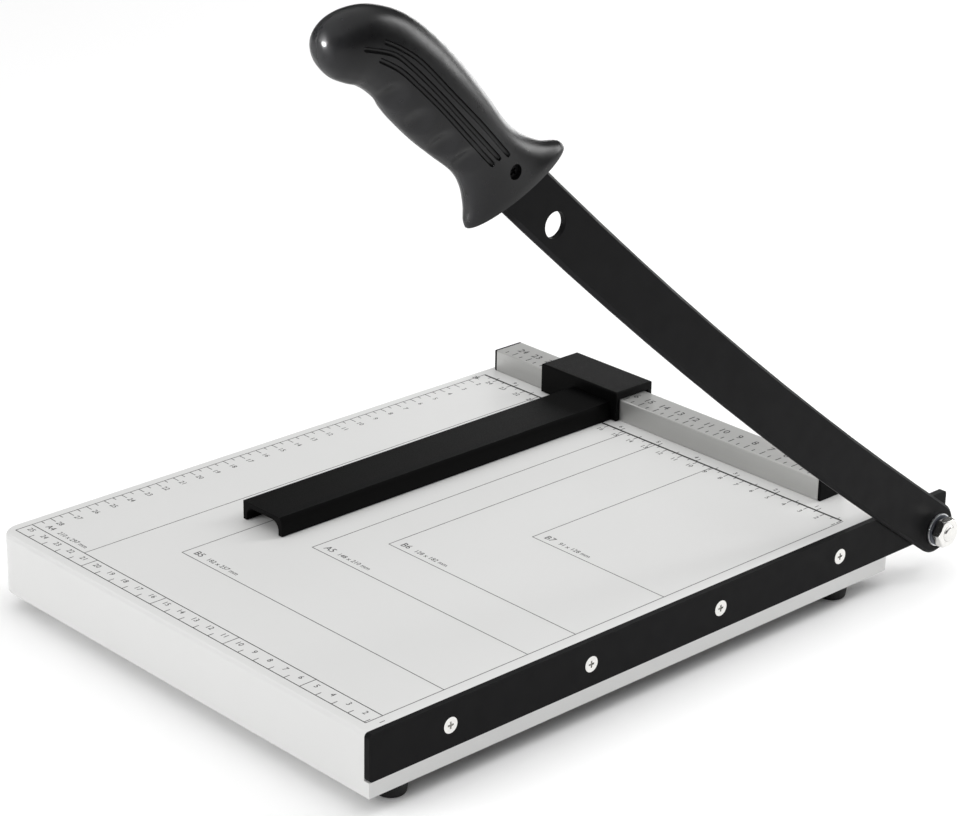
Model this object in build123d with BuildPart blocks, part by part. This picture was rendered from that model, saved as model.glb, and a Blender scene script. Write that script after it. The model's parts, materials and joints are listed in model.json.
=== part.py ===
from build123d import *
import os
from math import asin, cos, radians, sin, sqrt

# Guillotine paper cutter, in millimetres.
#
# Frame: +Z is up, +X runs across the table towards the cutting edge and +Y along the cutting edge, away
# from the handle. The origin is on the surface that the feet stand on, under the middle of the whole
# cutter's box with the arm raised.

os.makedirs("parts", exist_ok=True)

# ---- Driving dimensions ------------------------------------------------------------------------------

CUT_X = 121.5  # cutting plane: outer face of the fixed blade
FENCE_Y = 135.8  # front face of the fence
TABLE_Z = 38.0  # top of the table
CLEAR = 0.4  # gap around pieces that slide on the table and fence

TABLE_WIDTH = 256.0  # left edge to cutting plane
TABLE_NEAR = 305.0  # fence's front face to near edge: twelve inches
TABLE_FAR = 17.0  # fence's front face to far edge
SKIRT_HEIGHT = 28.5
SHEET = 1.2  # steel sheet of the tray
FLANGE = 36.0  # inward flange under the near and far skirts
FLANGE_END = 7.0  # set back of the flange ends from the table's sides
LEFT_CORNER = 10.0
FAR_CORNER = 5.0
TOP_BEND = 2.0

BLADE_THICK = 3.0
BLADE_DEPTH = 21.5
BLADE_PAST = 56.0  # far end of the fixed blade, from the fence's front face
EAR_RADIUS = 9.0
BAR_THICK = 5.0
BAR_TOP_GAP = 3.0
BAR_HEIGHT = 16.0
BLADE_SCREW_Y = (-261.4, -181.0, -100.6, -20.2)  # from the fence's front face
BLADE_SCREW_DROP = 11.0

FOOT_HEIGHT = 9.5
FOOT_TOP_R = 8.0
FOOT_BOTTOM_R = 6.5
FOOT_INSET_X = 12.0
FOOT_INSET_NEAR = 22.0
FOOT_INSET_FAR = 27.0

FENCE_LEFT = 250.0  # from the cutting plane
FENCE_RIGHT = 32.0
FENCE_DEPTH = 18.0
FENCE_HEIGHT = 11.2
FENCE_WALL = 1.6
CAP_THICK = 1.5
CAP_PLUG = 6.0

HEAD_LEFT = 214.0
HEAD_RIGHT = 161.0
HEAD_TOP = 15.5
HEAD_FRONT = 2.8
HEAD_BACK = 22.4
HEAD_WALL = 2.4
GUIDE_LEFT = 192.0
GUIDE_RIGHT = 164.5
GUIDE_TOP = 9.4
GUIDE_NEAR = 214.0
GUIDE_WALL = 2.4
GUIDE_BEVEL = 3.0
GUIDE_BLOCK = 16.0
CHANNEL_CORNER = 4.5

PIVOT_Y = 47.4  # from the fence's front face
PIVOT_DROP = 16.6
RAISED = 40.0  # angle of the arm above the table
ARM_GAP = 0.2  # fixed blade to arm
ARM_THICK = 2.8
ARM_HALF = 12.2
ARM_LENGTH = 372.0
BOW_RADIUS = 2950.0
BOW_MIDDLE = 219.0  # lowest point of the bow, along the arm from the pivot
EDGE_GRIND = 1.4
TANG_HALF = 7.0
TANG_LENGTH = 76.0
HANG_ALONG = 333.0
HANG_OFF = -1.8
HANG_RADIUS = 5.5

BOLT_R = 4.0
BUSH_R = 6.0
RUN_CLEAR = 0.05
WASHER_R = 8.0
WASHER_THICK = 1.2
SPRING_R = 7.4
SPRING_THICK = 0.7
SPRING_RISE = 1.0
NUT_FLATS = 13.0
NUT_HEIGHT = 4.0
BOLT_HEAD_HEIGHT = 5.3
BOLT_PROUD = 0.9

OUTER_SCREW_ALONG = 374.0
INNER_SCREW_ALONG = 434.0
HANDLE_SCREW_R = 1.5
HANDLE_SCREW_HEAD_R = 3.0
HANDLE_SCREW_HEAD = 2.2
HANDLE_SEAT = 5.0  # screw head's seat, outward from the arm's middle plane
INSERT_R = 2.6
INSERT_DEPTH = 6.0
POCKET_CLEAR = 0.15

BLADE_SCREW_R = 2.0
BLADE_HEAD_R = 3.7
BLADE_CORNER = 2.0
SLOT_LENGTH = 3.2
SLOT_WIDTH = 0.8
SLOT_DEPTH = 1.2
FOOT_SCREW_R = 2.0
FOOT_SCREW_HEAD_R = 3.8
FOOT_SEAT_R = 4.2
FOOT_SEAT = 4.0
FOOT_NUT_FLATS = 7.0
FOOT_NUT_HEIGHT = 3.2
FENCE_SCREW_R = 1.8
FENCE_SCREW_HEAD_R = 3.4
FENCE_EDGE = 0.6
HEAD_EDGE = 0.8
GUIDE_SCREW_R = 1.3
GUIDE_SCREW_HEAD_R = 2.3
GUIDE_SCREW_DEPTH = 9.0
LEAF_THICK = 0.4
LEAF_HEIGHT = 6.0
LEAF_HALF = 16.0
BOLT_END_CHAMFER = 0.8
NUT_FACE_R = 6.3
NUT_CONE_R = 13.2

# Handle sections, from the guard's face to the butt: distance along the arm from the pivot, height above
# the arm's axis, lean in degrees, half height and half width.
HANDLE_SECTIONS = (
    (361.9, -6.0, 25.0, 27.2, 8.2),
    (364.6, -5.3, 24.5, 26.4, 8.6),
    (370.5, -5.4, 23.5, 21.4, 8.8),
    (379.5, -4.4, 21.0, 16.6, 9.2),
    (389.5, -3.4, 16.0, 14.6, 9.8),
    (404.0, -2.2, 9.0, 15.8, 10.7),
    (421.0, -0.9, -1.0, 17.2, 11.3),
    (438.0, 0.1, -8.0, 17.4, 11.4),
    (452.0, 0.4, -16.0, 16.0, 11.3),
    (463.0, -2.4, -26.0, 14.8, 11.0),
    (470.4, -6.6, -33.0, 13.6, 10.5),
    (476.0, -10.8, -39.0, 11.2, 9.2),
    (479.8, -13.8, -43.0, 7.2, 6.4),
    (481.4, -15.0, -45.0, 3.2, 3.0),
)

# ---- Derived places ----------------------------------------------------------------------------------

LEFT_X = CUT_X - TABLE_WIDTH
NEAR_Y = FENCE_Y - TABLE_NEAR
FAR_Y = FENCE_Y + TABLE_FAR
WALL_X = CUT_X - BLADE_THICK
SKIRT_Z = TABLE_Z - SKIRT_HEIGHT
LEDGE_Z = TABLE_Z - BLADE_DEPTH
PIVOT = (CUT_X, FENCE_Y + PIVOT_Y, TABLE_Z - PIVOT_DROP)
ARM_MID_X = CUT_X + ARM_GAP + ARM_THICK / 2
ARM_FACE_X = CUT_X + ARM_GAP + ARM_THICK
SIDE = Plane.YZ.offset(CUT_X)
LOW = (Align.CENTER, Align.CENTER, Align.MIN)
HIGH = (Align.CENTER, Align.CENTER, Align.MAX)

# The arm's plane: local x along the arm from the pivot to the handle, local y across it and upwards,
# local z inwards over the table.
ARM = Plane(
    origin=(ARM_MID_X, PIVOT[1], PIVOT[2]),
    x_dir=(0, -cos(radians(RAISED)), sin(radians(RAISED))),
    z_dir=(-1, 0, 0),
)
BOW_CENTRE = sqrt(BOW_RADIUS**2 - BOW_MIDDLE**2)
BOW_START = asin(BOW_MIDDLE / BOW_RADIUS)

foot_places = {
    "near_left": (LEFT_X + FOOT_INSET_X, NEAR_Y + FOOT_INSET_NEAR),
    "near_right": (CUT_X - FOOT_INSET_X, NEAR_Y + FOOT_INSET_NEAR),
    "far_left": (LEFT_X + FOOT_INSET_X, FAR_Y - FOOT_INSET_FAR),
    "far_right": (CUT_X - FOOT_INSET_X, FAR_Y - FOOT_INSET_FAR),
}
blade_screw_places = [(FENCE_Y + y, TABLE_Z - BLADE_SCREW_DROP) for y in BLADE_SCREW_Y]
fence_screw_places = [
    (CUT_X - x, FENCE_Y + FENCE_DEPTH / 2) for x in (FENCE_LEFT - 24.0, FENCE_RIGHT + 24.0)
]
guide_screw_places = [
    (CUT_X - x, TABLE_Z + GUIDE_TOP / 2) for x in (GUIDE_LEFT - 7.0, GUIDE_RIGHT + 7.0)
]


def save(piece, name):
    """Label a finished piece and write its STEP file."""
    piece.part.label = name
    export_step(piece.part, f"parts/{name}.step")


def bow_point(along, off):
    """Point of the bowed arm, in the arm's plane."""
    angle = along / BOW_RADIUS - BOW_START
    radius = BOW_RADIUS - off
    return (BOW_MIDDLE + radius * sin(angle), BOW_CENTRE - radius * cos(angle))


def tray_block(inset, bottom_z):
    """Solid block of the tray's shape, smaller all round by an inset."""
    with BuildPart() as block:
        with BuildSketch(Plane.XY.offset(bottom_z)):
            with Locations(((LEFT_X + CUT_X) / 2, (NEAR_Y + FAR_Y) / 2)):
                Rectangle(TABLE_WIDTH - 2 * inset, FAR_Y - NEAR_Y - 2 * inset)
        extrude(amount=LEDGE_Z - inset - bottom_z)
        with BuildSketch(Plane.XY.offset(LEDGE_Z - inset)):
            with Locations(((LEFT_X + WALL_X) / 2, (NEAR_Y + FAR_Y) / 2)):
                Rectangle(WALL_X - LEFT_X - 2 * inset, FAR_Y - NEAR_Y - 2 * inset)
        extrude(amount=BLADE_DEPTH)
        left = block.edges().filter_by(Axis.Z).sort_by(Axis.X)[:2]
        fillet(left, radius=LEFT_CORNER - inset)
        right = block.edges().filter_by(Axis.Z).group_by(Axis.X)[-1].sort_by(Axis.Y)[-1]
        fillet(right, radius=FAR_CORNER - inset)
        rim = block.faces().sort_by(Axis.Z)[-1].edges()
        fillet(rim.filter_by_position(Axis.X, LEFT_X - 1, WALL_X - inset - 0.1), radius=TOP_BEND - inset)
    return block.part


# ---- Table -------------------------------------------------------------------------------------------

# The tray is folded from sheet. Its right side is set back by the fixed blade's thickness down to a
# ledge, and comes out flush with the blade below it. Flanges turn inwards under the near and far skirts.
tray_inside = tray_block(SHEET, SKIRT_Z - SHEET)
with BuildPart() as base_tray:
    add(tray_block(0, SKIRT_Z))
    add(tray_inside, mode=Mode.SUBTRACT)
    for flange_y in (NEAR_Y + FLANGE / 2, FAR_Y - FLANGE / 2):
        with Locations(((LEFT_X + CUT_X) / 2, flange_y, SKIRT_Z)):
            Box(TABLE_WIDTH - 2 * FLANGE_END, FLANGE - 2 * SHEET, SHEET, align=LOW)
    with Locations(*[(x, y, SKIRT_Z) for x, y in foot_places.values()]):
        Cylinder(FOOT_SCREW_R, SHEET, align=LOW, mode=Mode.SUBTRACT)
    with Locations(*[(x, y, TABLE_Z) for x, y in fence_screw_places]):
        Cylinder(FENCE_SCREW_R, 2 * SHEET, mode=Mode.SUBTRACT)
    with Locations(Plane.YZ.offset(WALL_X)):
        with Locations(*blade_screw_places):
            Cylinder(BLADE_SCREW_R, 2 * SHEET, mode=Mode.SUBTRACT)
save(base_tray, "base_tray")

# Bar inside the right wall that the fixed blade's screws are threaded into.
bar_top = TABLE_Z - BAR_TOP_GAP
with BuildPart() as backing_bar:
    with BuildSketch(Plane.YZ.offset(WALL_X - SHEET)):
        with Locations(((NEAR_Y + FAR_Y) / 2, bar_top - BAR_HEIGHT / 2)):
            Rectangle(FAR_Y - NEAR_Y - 2 * LEFT_CORNER, BAR_HEIGHT)
        with Locations(*blade_screw_places):
            Circle(BLADE_SCREW_R, mode=Mode.SUBTRACT)
    extrude(amount=-BAR_THICK)
save(backing_bar, "backing_bar")

# ---- Fixed blade -------------------------------------------------------------------------------------

blade_far = FENCE_Y + BLADE_PAST
with BuildPart(SIDE) as fixed_blade:
    with BuildSketch(SIDE):
        with Locations(((NEAR_Y + blade_far) / 2, TABLE_Z - BLADE_DEPTH / 2)):
            RectangleRounded(blade_far - NEAR_Y, BLADE_DEPTH, BLADE_CORNER)
        with Locations((PIVOT[1], PIVOT[2])):
            Circle(EAR_RADIUS)
            Circle(BOLT_R, mode=Mode.SUBTRACT)
    extrude(amount=-BLADE_THICK)
    with Locations(*blade_screw_places):
        CounterSinkHole(BLADE_SCREW_R, BLADE_HEAD_R, counter_sink_angle=90)
save(fixed_blade, "fixed_blade")

screw_length = BLADE_THICK + SHEET + BAR_THICK
with BuildPart(SIDE) as fixed_blade_screws:
    with Locations(*blade_screw_places):
        Cylinder(BLADE_SCREW_R, screw_length, align=HIGH)
        Cone(BLADE_SCREW_R, BLADE_HEAD_R, BLADE_HEAD_R - BLADE_SCREW_R, align=HIGH)
        Box(SLOT_LENGTH, SLOT_WIDTH, 2 * SLOT_DEPTH, mode=Mode.SUBTRACT)
        Box(SLOT_WIDTH, SLOT_LENGTH, 2 * SLOT_DEPTH, mode=Mode.SUBTRACT)
save(fixed_blade_screws, "fixed_blade_screws")

# ---- Feet --------------------------------------------------------------------------------------------

for foot_name, (foot_x, foot_y) in foot_places.items():
    with BuildPart() as foot:
        with Locations((foot_x, foot_y, 0)):
            Cone(FOOT_BOTTOM_R, FOOT_TOP_R, FOOT_HEIGHT, align=LOW)
            Cylinder(FOOT_SCREW_R, FOOT_HEIGHT, align=LOW, mode=Mode.SUBTRACT)
            Cylinder(FOOT_SEAT_R, FOOT_SEAT, align=LOW, mode=Mode.SUBTRACT)
    save(foot, f"foot_{foot_name}")

foot_screw_head = 2.4
with BuildPart() as foot_screws:
    with Locations(*[(x, y, FOOT_SEAT) for x, y in foot_places.values()]):
        Cylinder(FOOT_SCREW_HEAD_R, foot_screw_head, align=HIGH)
        Cylinder(FOOT_SCREW_R, FOOT_HEIGHT + SHEET + FOOT_NUT_HEIGHT + 1 - FOOT_SEAT, align=LOW)
save(foot_screws, "foot_screws")

with BuildPart() as foot_nuts:
    with BuildSketch(Plane.XY.offset(SKIRT_Z + SHEET)):
        with Locations(*foot_places.values()):
            RegularPolygon(FOOT_NUT_FLATS / 2, 6, major_radius=False)
            Circle(FOOT_SCREW_R, mode=Mode.SUBTRACT)
    extrude(amount=FOOT_NUT_HEIGHT)
save(foot_nuts, "foot_nuts")

# ---- Fence -------------------------------------------------------------------------------------------

fence_mid = (FENCE_Y + FENCE_DEPTH / 2, TABLE_Z + FENCE_HEIGHT / 2)
fence_inside = (FENCE_DEPTH - 2 * FENCE_WALL, FENCE_HEIGHT - 2 * FENCE_WALL)
with BuildPart() as fence_rail:
    with BuildSketch(Plane.YZ.offset(CUT_X - FENCE_LEFT)):
        with Locations(fence_mid):
            RectangleRounded(FENCE_DEPTH, FENCE_HEIGHT, FENCE_EDGE)
            Rectangle(*fence_inside, mode=Mode.SUBTRACT)
    extrude(amount=FENCE_LEFT - FENCE_RIGHT)
    with Locations(*[(x, y, TABLE_Z) for x, y in fence_screw_places]):
        Cylinder(FENCE_SCREW_R, 2 * FENCE_WALL, mode=Mode.SUBTRACT)
save(fence_rail, "fence_rail")

for cap_name, cap_x, outward in (("left", CUT_X - FENCE_LEFT, -1), ("right", CUT_X - FENCE_RIGHT, 1)):
    cap_plane = Plane.YZ.offset(cap_x)
    with BuildPart() as fence_cap:
        with BuildSketch(cap_plane):
            with Locations(fence_mid):
                RectangleRounded(FENCE_DEPTH, FENCE_HEIGHT, FENCE_EDGE)
        extrude(amount=outward * CAP_THICK)
        with BuildSketch(cap_plane):
            with Locations(fence_mid):
                Rectangle(*fence_inside)
        extrude(amount=-outward * CAP_PLUG)
    save(fence_cap, f"fence_cap_{cap_name}")

fence_screw_head = 2.4
with BuildPart() as fence_screws:
    with Locations(*[(x, y, TABLE_Z - SHEET) for x, y in fence_screw_places]):
        Cylinder(FENCE_SCREW_HEAD_R, fence_screw_head, align=HIGH)
        Cylinder(FENCE_SCREW_R, SHEET + FENCE_WALL + 4, align=LOW)
save(fence_screws, "fence_screws")

# ---- Paper guide -------------------------------------------------------------------------------------

# The head straddles the fence, with a wider gap behind it for the leaf spring.
head_mid_x = CUT_X - (HEAD_LEFT + HEAD_RIGHT) / 2
head_front_y = FENCE_Y - HEAD_FRONT
head_back_y = FENCE_Y + HEAD_BACK
with BuildPart() as guide_head:
    with BuildSketch(Plane.YZ.offset(CUT_X - HEAD_LEFT)):
        with BuildLine():
            Polyline(
                (head_front_y, TABLE_Z + CLEAR),
                (head_front_y, TABLE_Z + HEAD_TOP),
                (head_back_y, TABLE_Z + HEAD_TOP),
                (head_back_y, TABLE_Z + CLEAR),
                (head_back_y - HEAD_WALL, TABLE_Z + CLEAR),
                (head_back_y - HEAD_WALL, TABLE_Z + FENCE_HEIGHT + CLEAR),
                (FENCE_Y - CLEAR, TABLE_Z + FENCE_HEIGHT + CLEAR),
                (FENCE_Y - CLEAR, TABLE_Z + CLEAR),
                close=True,
            )
        make_face()
    extrude(amount=HEAD_LEFT - HEAD_RIGHT)
    fillet(guide_head.faces().sort_by(Axis.Z)[-1].edges(), radius=HEAD_EDGE)
    with Locations(Plane.XZ.offset(-(FENCE_Y - CLEAR))):
        with Locations(*guide_screw_places):
            CounterSinkHole(GUIDE_SCREW_R, GUIDE_SCREW_HEAD_R, counter_sink_angle=90)
save(guide_head, "guide_head")

# Inverted channel with a solid block at the head's end.
guide_length = GUIDE_NEAR - HEAD_FRONT
guide_left_x = CUT_X - GUIDE_LEFT
guide_right_x = CUT_X - GUIDE_RIGHT
guide_bottom = TABLE_Z + CLEAR
guide_top = TABLE_Z + GUIDE_TOP
guide_plane = Plane.XZ.offset(-head_front_y)
with BuildPart(guide_plane) as guide_arm:
    with BuildSketch(guide_plane):
        with BuildLine():
            Polyline(
                (guide_left_x, guide_bottom),
                (guide_left_x, guide_top),
                (guide_right_x - GUIDE_BEVEL / 2, guide_top),
                (guide_right_x, guide_top - GUIDE_BEVEL),
                (guide_right_x, guide_bottom),
                close=True,
            )
        make_face()
    extrude(amount=guide_length)
    with BuildSketch(guide_plane.offset(GUIDE_BLOCK)) as channel:
        with Locations(((guide_left_x + guide_right_x) / 2, guide_bottom)):
            Rectangle(
                GUIDE_LEFT - GUIDE_RIGHT - 2 * GUIDE_WALL,
                2 * (GUIDE_TOP - CLEAR - GUIDE_WALL),
            )
        fillet(channel.vertices().group_by(Axis.Y)[-1], radius=CHANNEL_CORNER)
    extrude(amount=guide_length - GUIDE_BLOCK, mode=Mode.SUBTRACT)
    with Locations(*guide_screw_places):
        Hole(GUIDE_SCREW_R, depth=GUIDE_SCREW_DEPTH)
save(guide_arm, "guide_arm")

guide_screw_length = HEAD_FRONT - CLEAR + GUIDE_SCREW_DEPTH
with BuildPart(Plane.XZ.offset(-(FENCE_Y - CLEAR))) as guide_screws:
    with Locations(*guide_screw_places):
        Cylinder(GUIDE_SCREW_R, guide_screw_length, align=LOW)
        Cone(
            GUIDE_SCREW_HEAD_R,
            GUIDE_SCREW_R,
            GUIDE_SCREW_HEAD_R - GUIDE_SCREW_R,
            align=LOW,
        )
save(guide_screws, "guide_screws")

# Bowed strip in the gap behind the fence: its ends lean on the head and its middle on the fence.
spring_back = head_back_y - HEAD_WALL - LEAF_THICK
spring_front = FENCE_Y + FENCE_DEPTH + RUN_CLEAR
with BuildPart() as guide_leaf_spring:
    with BuildSketch(Plane.XY.offset(TABLE_Z + FENCE_HEIGHT / 2 - LEAF_HEIGHT / 2)):
        with BuildLine():
            inner = ThreePointArc(
                (head_mid_x - LEAF_HALF, spring_back),
                (head_mid_x, spring_front),
                (head_mid_x + LEAF_HALF, spring_back),
            )
            outer = ThreePointArc(
                (head_mid_x - LEAF_HALF, spring_back + LEAF_THICK),
                (head_mid_x, spring_front + LEAF_THICK),
                (head_mid_x + LEAF_HALF, spring_back + LEAF_THICK),
            )
            Line(inner @ 0, outer @ 0)
            Line(inner @ 1, outer @ 1)
        make_face()
    extrude(amount=LEAF_HEIGHT)
save(guide_leaf_spring, "guide_leaf_spring")

# ---- Cutting arm -------------------------------------------------------------------------------------

# Flat steel bowed downwards, round at the pivot, with a narrower tang inside the handle.
with BuildPart() as moving_blade:
    with BuildSketch(ARM):
        with BuildLine():
            top = ThreePointArc(
                bow_point(0, ARM_HALF),
                bow_point(ARM_LENGTH / 2, ARM_HALF),
                bow_point(ARM_LENGTH, ARM_HALF),
            )
            bottom = ThreePointArc(
                bow_point(0, -ARM_HALF),
                bow_point(ARM_LENGTH / 2, -ARM_HALF),
                bow_point(ARM_LENGTH, -ARM_HALF),
            )
            ThreePointArc(top @ 0, bow_point(-ARM_HALF, 0), bottom @ 0)
            Polyline(
                top @ 1,
                bow_point(ARM_LENGTH, TANG_HALF),
                bow_point(ARM_LENGTH + TANG_LENGTH, TANG_HALF),
                bow_point(ARM_LENGTH + TANG_LENGTH, -TANG_HALF),
                bow_point(ARM_LENGTH, -TANG_HALF),
                bottom @ 1,
            )
        make_face()
        with Locations((0, 0)):
            Circle(BUSH_R, mode=Mode.SUBTRACT)
        with Locations(bow_point(HANG_ALONG, HANG_OFF)):
            Circle(HANG_RADIUS, mode=Mode.SUBTRACT)
        with Locations(bow_point(OUTER_SCREW_ALONG, 0), bow_point(INNER_SCREW_ALONG, 0)):
            Circle(HANDLE_SCREW_R, mode=Mode.SUBTRACT)
    extrude(amount=ARM_THICK / 2, both=True)
    lower_edge = moving_blade.faces().sort_by(Axis.X)[-1].edges().sort_by(Edge.length)[-1]
    chamfer(lower_edge, length=EDGE_GRIND)
save(moving_blade, "moving_blade")

with BuildPart(ARM) as pivot_bush:
    Cylinder(BUSH_R, ARM_THICK)
    Cylinder(BOLT_R + RUN_CLEAR, ARM_THICK, mode=Mode.SUBTRACT)
save(pivot_bush, "pivot_bush")

# ---- Pivot -------------------------------------------------------------------------------------------

# Stack on the bolt, outwards from the arm: flat washer, disc spring, thin nut.
washer_x = ARM_FACE_X + ARM_GAP / 2
spring_x = washer_x + WASHER_THICK
nut_x = spring_x + SPRING_THICK + SPRING_RISE
bolt_end_x = nut_x + NUT_HEIGHT + BOLT_PROUD


def pivot_plane(x):
    """Plane across the pivot's axis, facing outwards."""
    return Plane(origin=(x, PIVOT[1], PIVOT[2]), x_dir=(0, 1, 0), z_dir=(1, 0, 0))


with BuildPart(pivot_plane(WALL_X)) as pivot_bolt:
    Cylinder(BOLT_R, bolt_end_x - WALL_X, align=LOW)
    chamfer(pivot_bolt.edges().sort_by(Axis.X)[-1], length=BOLT_END_CHAMFER)
    with BuildSketch(pivot_plane(WALL_X)):
        RegularPolygon(NUT_FLATS / 2, 6, major_radius=False)
    extrude(amount=-BOLT_HEAD_HEIGHT)
save(pivot_bolt, "pivot_bolt")

with BuildPart(pivot_plane(washer_x)) as pivot_washer:
    Cylinder(WASHER_R, WASHER_THICK, align=LOW)
    Cylinder(BOLT_R + RUN_CLEAR, WASHER_THICK, align=LOW, mode=Mode.SUBTRACT)
save(pivot_washer, "pivot_washer")

with BuildPart() as pivot_spring_washer:
    with BuildSketch(Plane.XY.offset(PIVOT[2])):
        with BuildLine():
            Polyline(
                (spring_x, PIVOT[1] + SPRING_R),
                (spring_x + SPRING_THICK, PIVOT[1] + SPRING_R),
                (nut_x, PIVOT[1] + BOLT_R + RUN_CLEAR),
                (nut_x - SPRING_THICK, PIVOT[1] + BOLT_R + RUN_CLEAR),
                close=True,
            )
        make_face()
    revolve(axis=Axis(PIVOT, (1, 0, 0)))
save(pivot_spring_washer, "pivot_spring_washer")

with BuildPart(pivot_plane(nut_x)) as pivot_nut:
    with BuildSketch(pivot_plane(nut_x)):
        RegularPolygon(NUT_FLATS / 2, 6, major_radius=False)
    extrude(amount=NUT_HEIGHT)
    Cone(NUT_CONE_R, NUT_FACE_R, NUT_HEIGHT, align=LOW, mode=Mode.INTERSECT)
    Cylinder(BOLT_R, NUT_HEIGHT, align=LOW, mode=Mode.SUBTRACT)
save(pivot_nut, "pivot_nut")

# ---- Handle ------------------------------------------------------------------------------------------


def section_plane(along, off, lean):
    """Plane of one handle section, with local x across the handle's width."""
    along_dir = ARM.x_dir * cos(radians(lean)) + ARM.y_dir * sin(radians(lean))
    return Plane(origin=ARM.from_local_coords((along, off, 0)), x_dir=ARM.z_dir, z_dir=along_dir)


with BuildPart() as handle_shape:
    for along, off, lean, half_height, half_width in HANDLE_SECTIONS:
        with BuildSketch(section_plane(along, off, lean)):
            Ellipse(half_width, half_height)
    loft()

tang_pocket = (TANG_HALF + POCKET_CLEAR, ARM_HALF + POCKET_CLEAR)
with BuildPart() as tang_space:
    with BuildSketch(ARM):
        with BuildLine():
            Polyline(
                bow_point(ARM_LENGTH - 20, tang_pocket[1]),
                bow_point(ARM_LENGTH + POCKET_CLEAR, tang_pocket[1]),
                bow_point(ARM_LENGTH + POCKET_CLEAR, tang_pocket[0]),
                bow_point(ARM_LENGTH + TANG_LENGTH + POCKET_CLEAR, tang_pocket[0]),
                bow_point(ARM_LENGTH + TANG_LENGTH + POCKET_CLEAR, -tang_pocket[0]),
                bow_point(ARM_LENGTH + POCKET_CLEAR, -tang_pocket[0]),
                bow_point(ARM_LENGTH + POCKET_CLEAR, -tang_pocket[1]),
                bow_point(ARM_LENGTH - 20, -tang_pocket[1]),
                close=True,
            )
        make_face()
    extrude(amount=ARM_THICK / 2, both=True)

def screw_plane(along, driven):
    """Plane at a handle screw, whose normal points the way that the screw is driven."""
    return Plane(origin=ARM.from_local_coords((*bow_point(along, 0), 0)), x_dir=ARM.x_dir, z_dir=driven)


# The outer screw is driven inwards from the outer flank, and the inner screw the other way.
outer_screw = screw_plane(OUTER_SCREW_ALONG, ARM.z_dir)
inner_screw = screw_plane(INNER_SCREW_ALONG, -ARM.z_dir)


def handle_half(keep, seat_plane, insert_plane):
    """Half of the handle, with the seat of its own screw and the bore of the other screw's insert."""
    with BuildPart() as half:
        add(handle_shape.part)
        split(bisect_by=ARM, keep=keep)
        add(tang_space.part, mode=Mode.SUBTRACT)
        with Locations(seat_plane):
            Cylinder(HANDLE_SCREW_R, 40, mode=Mode.SUBTRACT)
            with Locations((0, 0, -HANDLE_SEAT)):
                Cylinder(HANDLE_SCREW_HEAD_R + POCKET_CLEAR, 20, align=HIGH, mode=Mode.SUBTRACT)
        with Locations(insert_plane):
            with Locations((0, 0, ARM_THICK / 2)):
                Cylinder(INSERT_R, INSERT_DEPTH, align=LOW, mode=Mode.SUBTRACT)
    return half


handle_outer_half = handle_half(Keep.BOTTOM, outer_screw, inner_screw)
save(handle_outer_half, "handle_outer_half")

handle_inner_half = handle_half(Keep.TOP, inner_screw, outer_screw)
save(handle_inner_half, "handle_inner_half")

with BuildPart() as handle_screws:
    for screw in (outer_screw, inner_screw):
        with Locations(screw):
            with Locations((0, 0, -HANDLE_SEAT)):
                Cylinder(HANDLE_SCREW_HEAD_R, HANDLE_SCREW_HEAD, align=HIGH)
                Cylinder(HANDLE_SCREW_R, HANDLE_SEAT + ARM_THICK / 2 + INSERT_DEPTH - 1, align=LOW)
            with Locations((0, 0, -HANDLE_SEAT - HANDLE_SCREW_HEAD)):
                Box(SLOT_LENGTH, SLOT_WIDTH, SLOT_DEPTH, align=LOW, mode=Mode.SUBTRACT)
                Box(SLOT_WIDTH, SLOT_LENGTH, SLOT_DEPTH, align=LOW, mode=Mode.SUBTRACT)
save(handle_screws, "handle_screws")

with BuildPart() as handle_inserts:
    for screw in (outer_screw, inner_screw):
        with Locations(screw):
            with Locations((0, 0, ARM_THICK / 2)):
                Cylinder(INSERT_R, INSERT_DEPTH, align=LOW)
                Cylinder(HANDLE_SCREW_R, INSERT_DEPTH, align=LOW, mode=Mode.SUBTRACT)
save(handle_inserts, "handle_inserts")
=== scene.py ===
"""Dresses the guillotine paper cutter: moulded handle, printed table, softened edges and finishes."""

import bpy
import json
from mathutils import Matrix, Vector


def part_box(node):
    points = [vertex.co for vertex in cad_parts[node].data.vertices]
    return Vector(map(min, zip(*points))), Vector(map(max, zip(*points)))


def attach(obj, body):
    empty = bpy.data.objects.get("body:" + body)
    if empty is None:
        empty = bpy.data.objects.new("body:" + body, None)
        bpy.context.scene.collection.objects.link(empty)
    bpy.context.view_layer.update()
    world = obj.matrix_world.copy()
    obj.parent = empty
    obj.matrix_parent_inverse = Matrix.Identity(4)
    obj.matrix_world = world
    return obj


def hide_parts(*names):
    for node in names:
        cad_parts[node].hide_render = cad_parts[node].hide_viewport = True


bl_info = {
    "name": "Guillotine Paper Cutter",
    "version": (1, 0, 0),
    "blender": (4, 5, 0),
    "location": "3D View > Sidebar > Paper Cutter",
    "description": "Handle, printed scales, softened metalwork, finishes and studio of a paper cutter",
    "category": "Object",
}

import json
import math

import bmesh
import bpy
from mathutils import Matrix, Vector

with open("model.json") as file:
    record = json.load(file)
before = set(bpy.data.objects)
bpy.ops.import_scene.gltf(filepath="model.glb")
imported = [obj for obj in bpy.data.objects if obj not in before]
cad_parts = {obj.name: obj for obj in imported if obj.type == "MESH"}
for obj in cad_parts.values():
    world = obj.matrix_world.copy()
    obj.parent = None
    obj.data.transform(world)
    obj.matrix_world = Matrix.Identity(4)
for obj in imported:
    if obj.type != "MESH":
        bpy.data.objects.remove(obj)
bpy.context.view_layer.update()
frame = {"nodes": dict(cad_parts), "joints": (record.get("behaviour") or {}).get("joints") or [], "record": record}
NODES = frame["nodes"]
MM = 0.001

# ---- Places, from the frame --------------------------------------------------------------------

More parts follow.
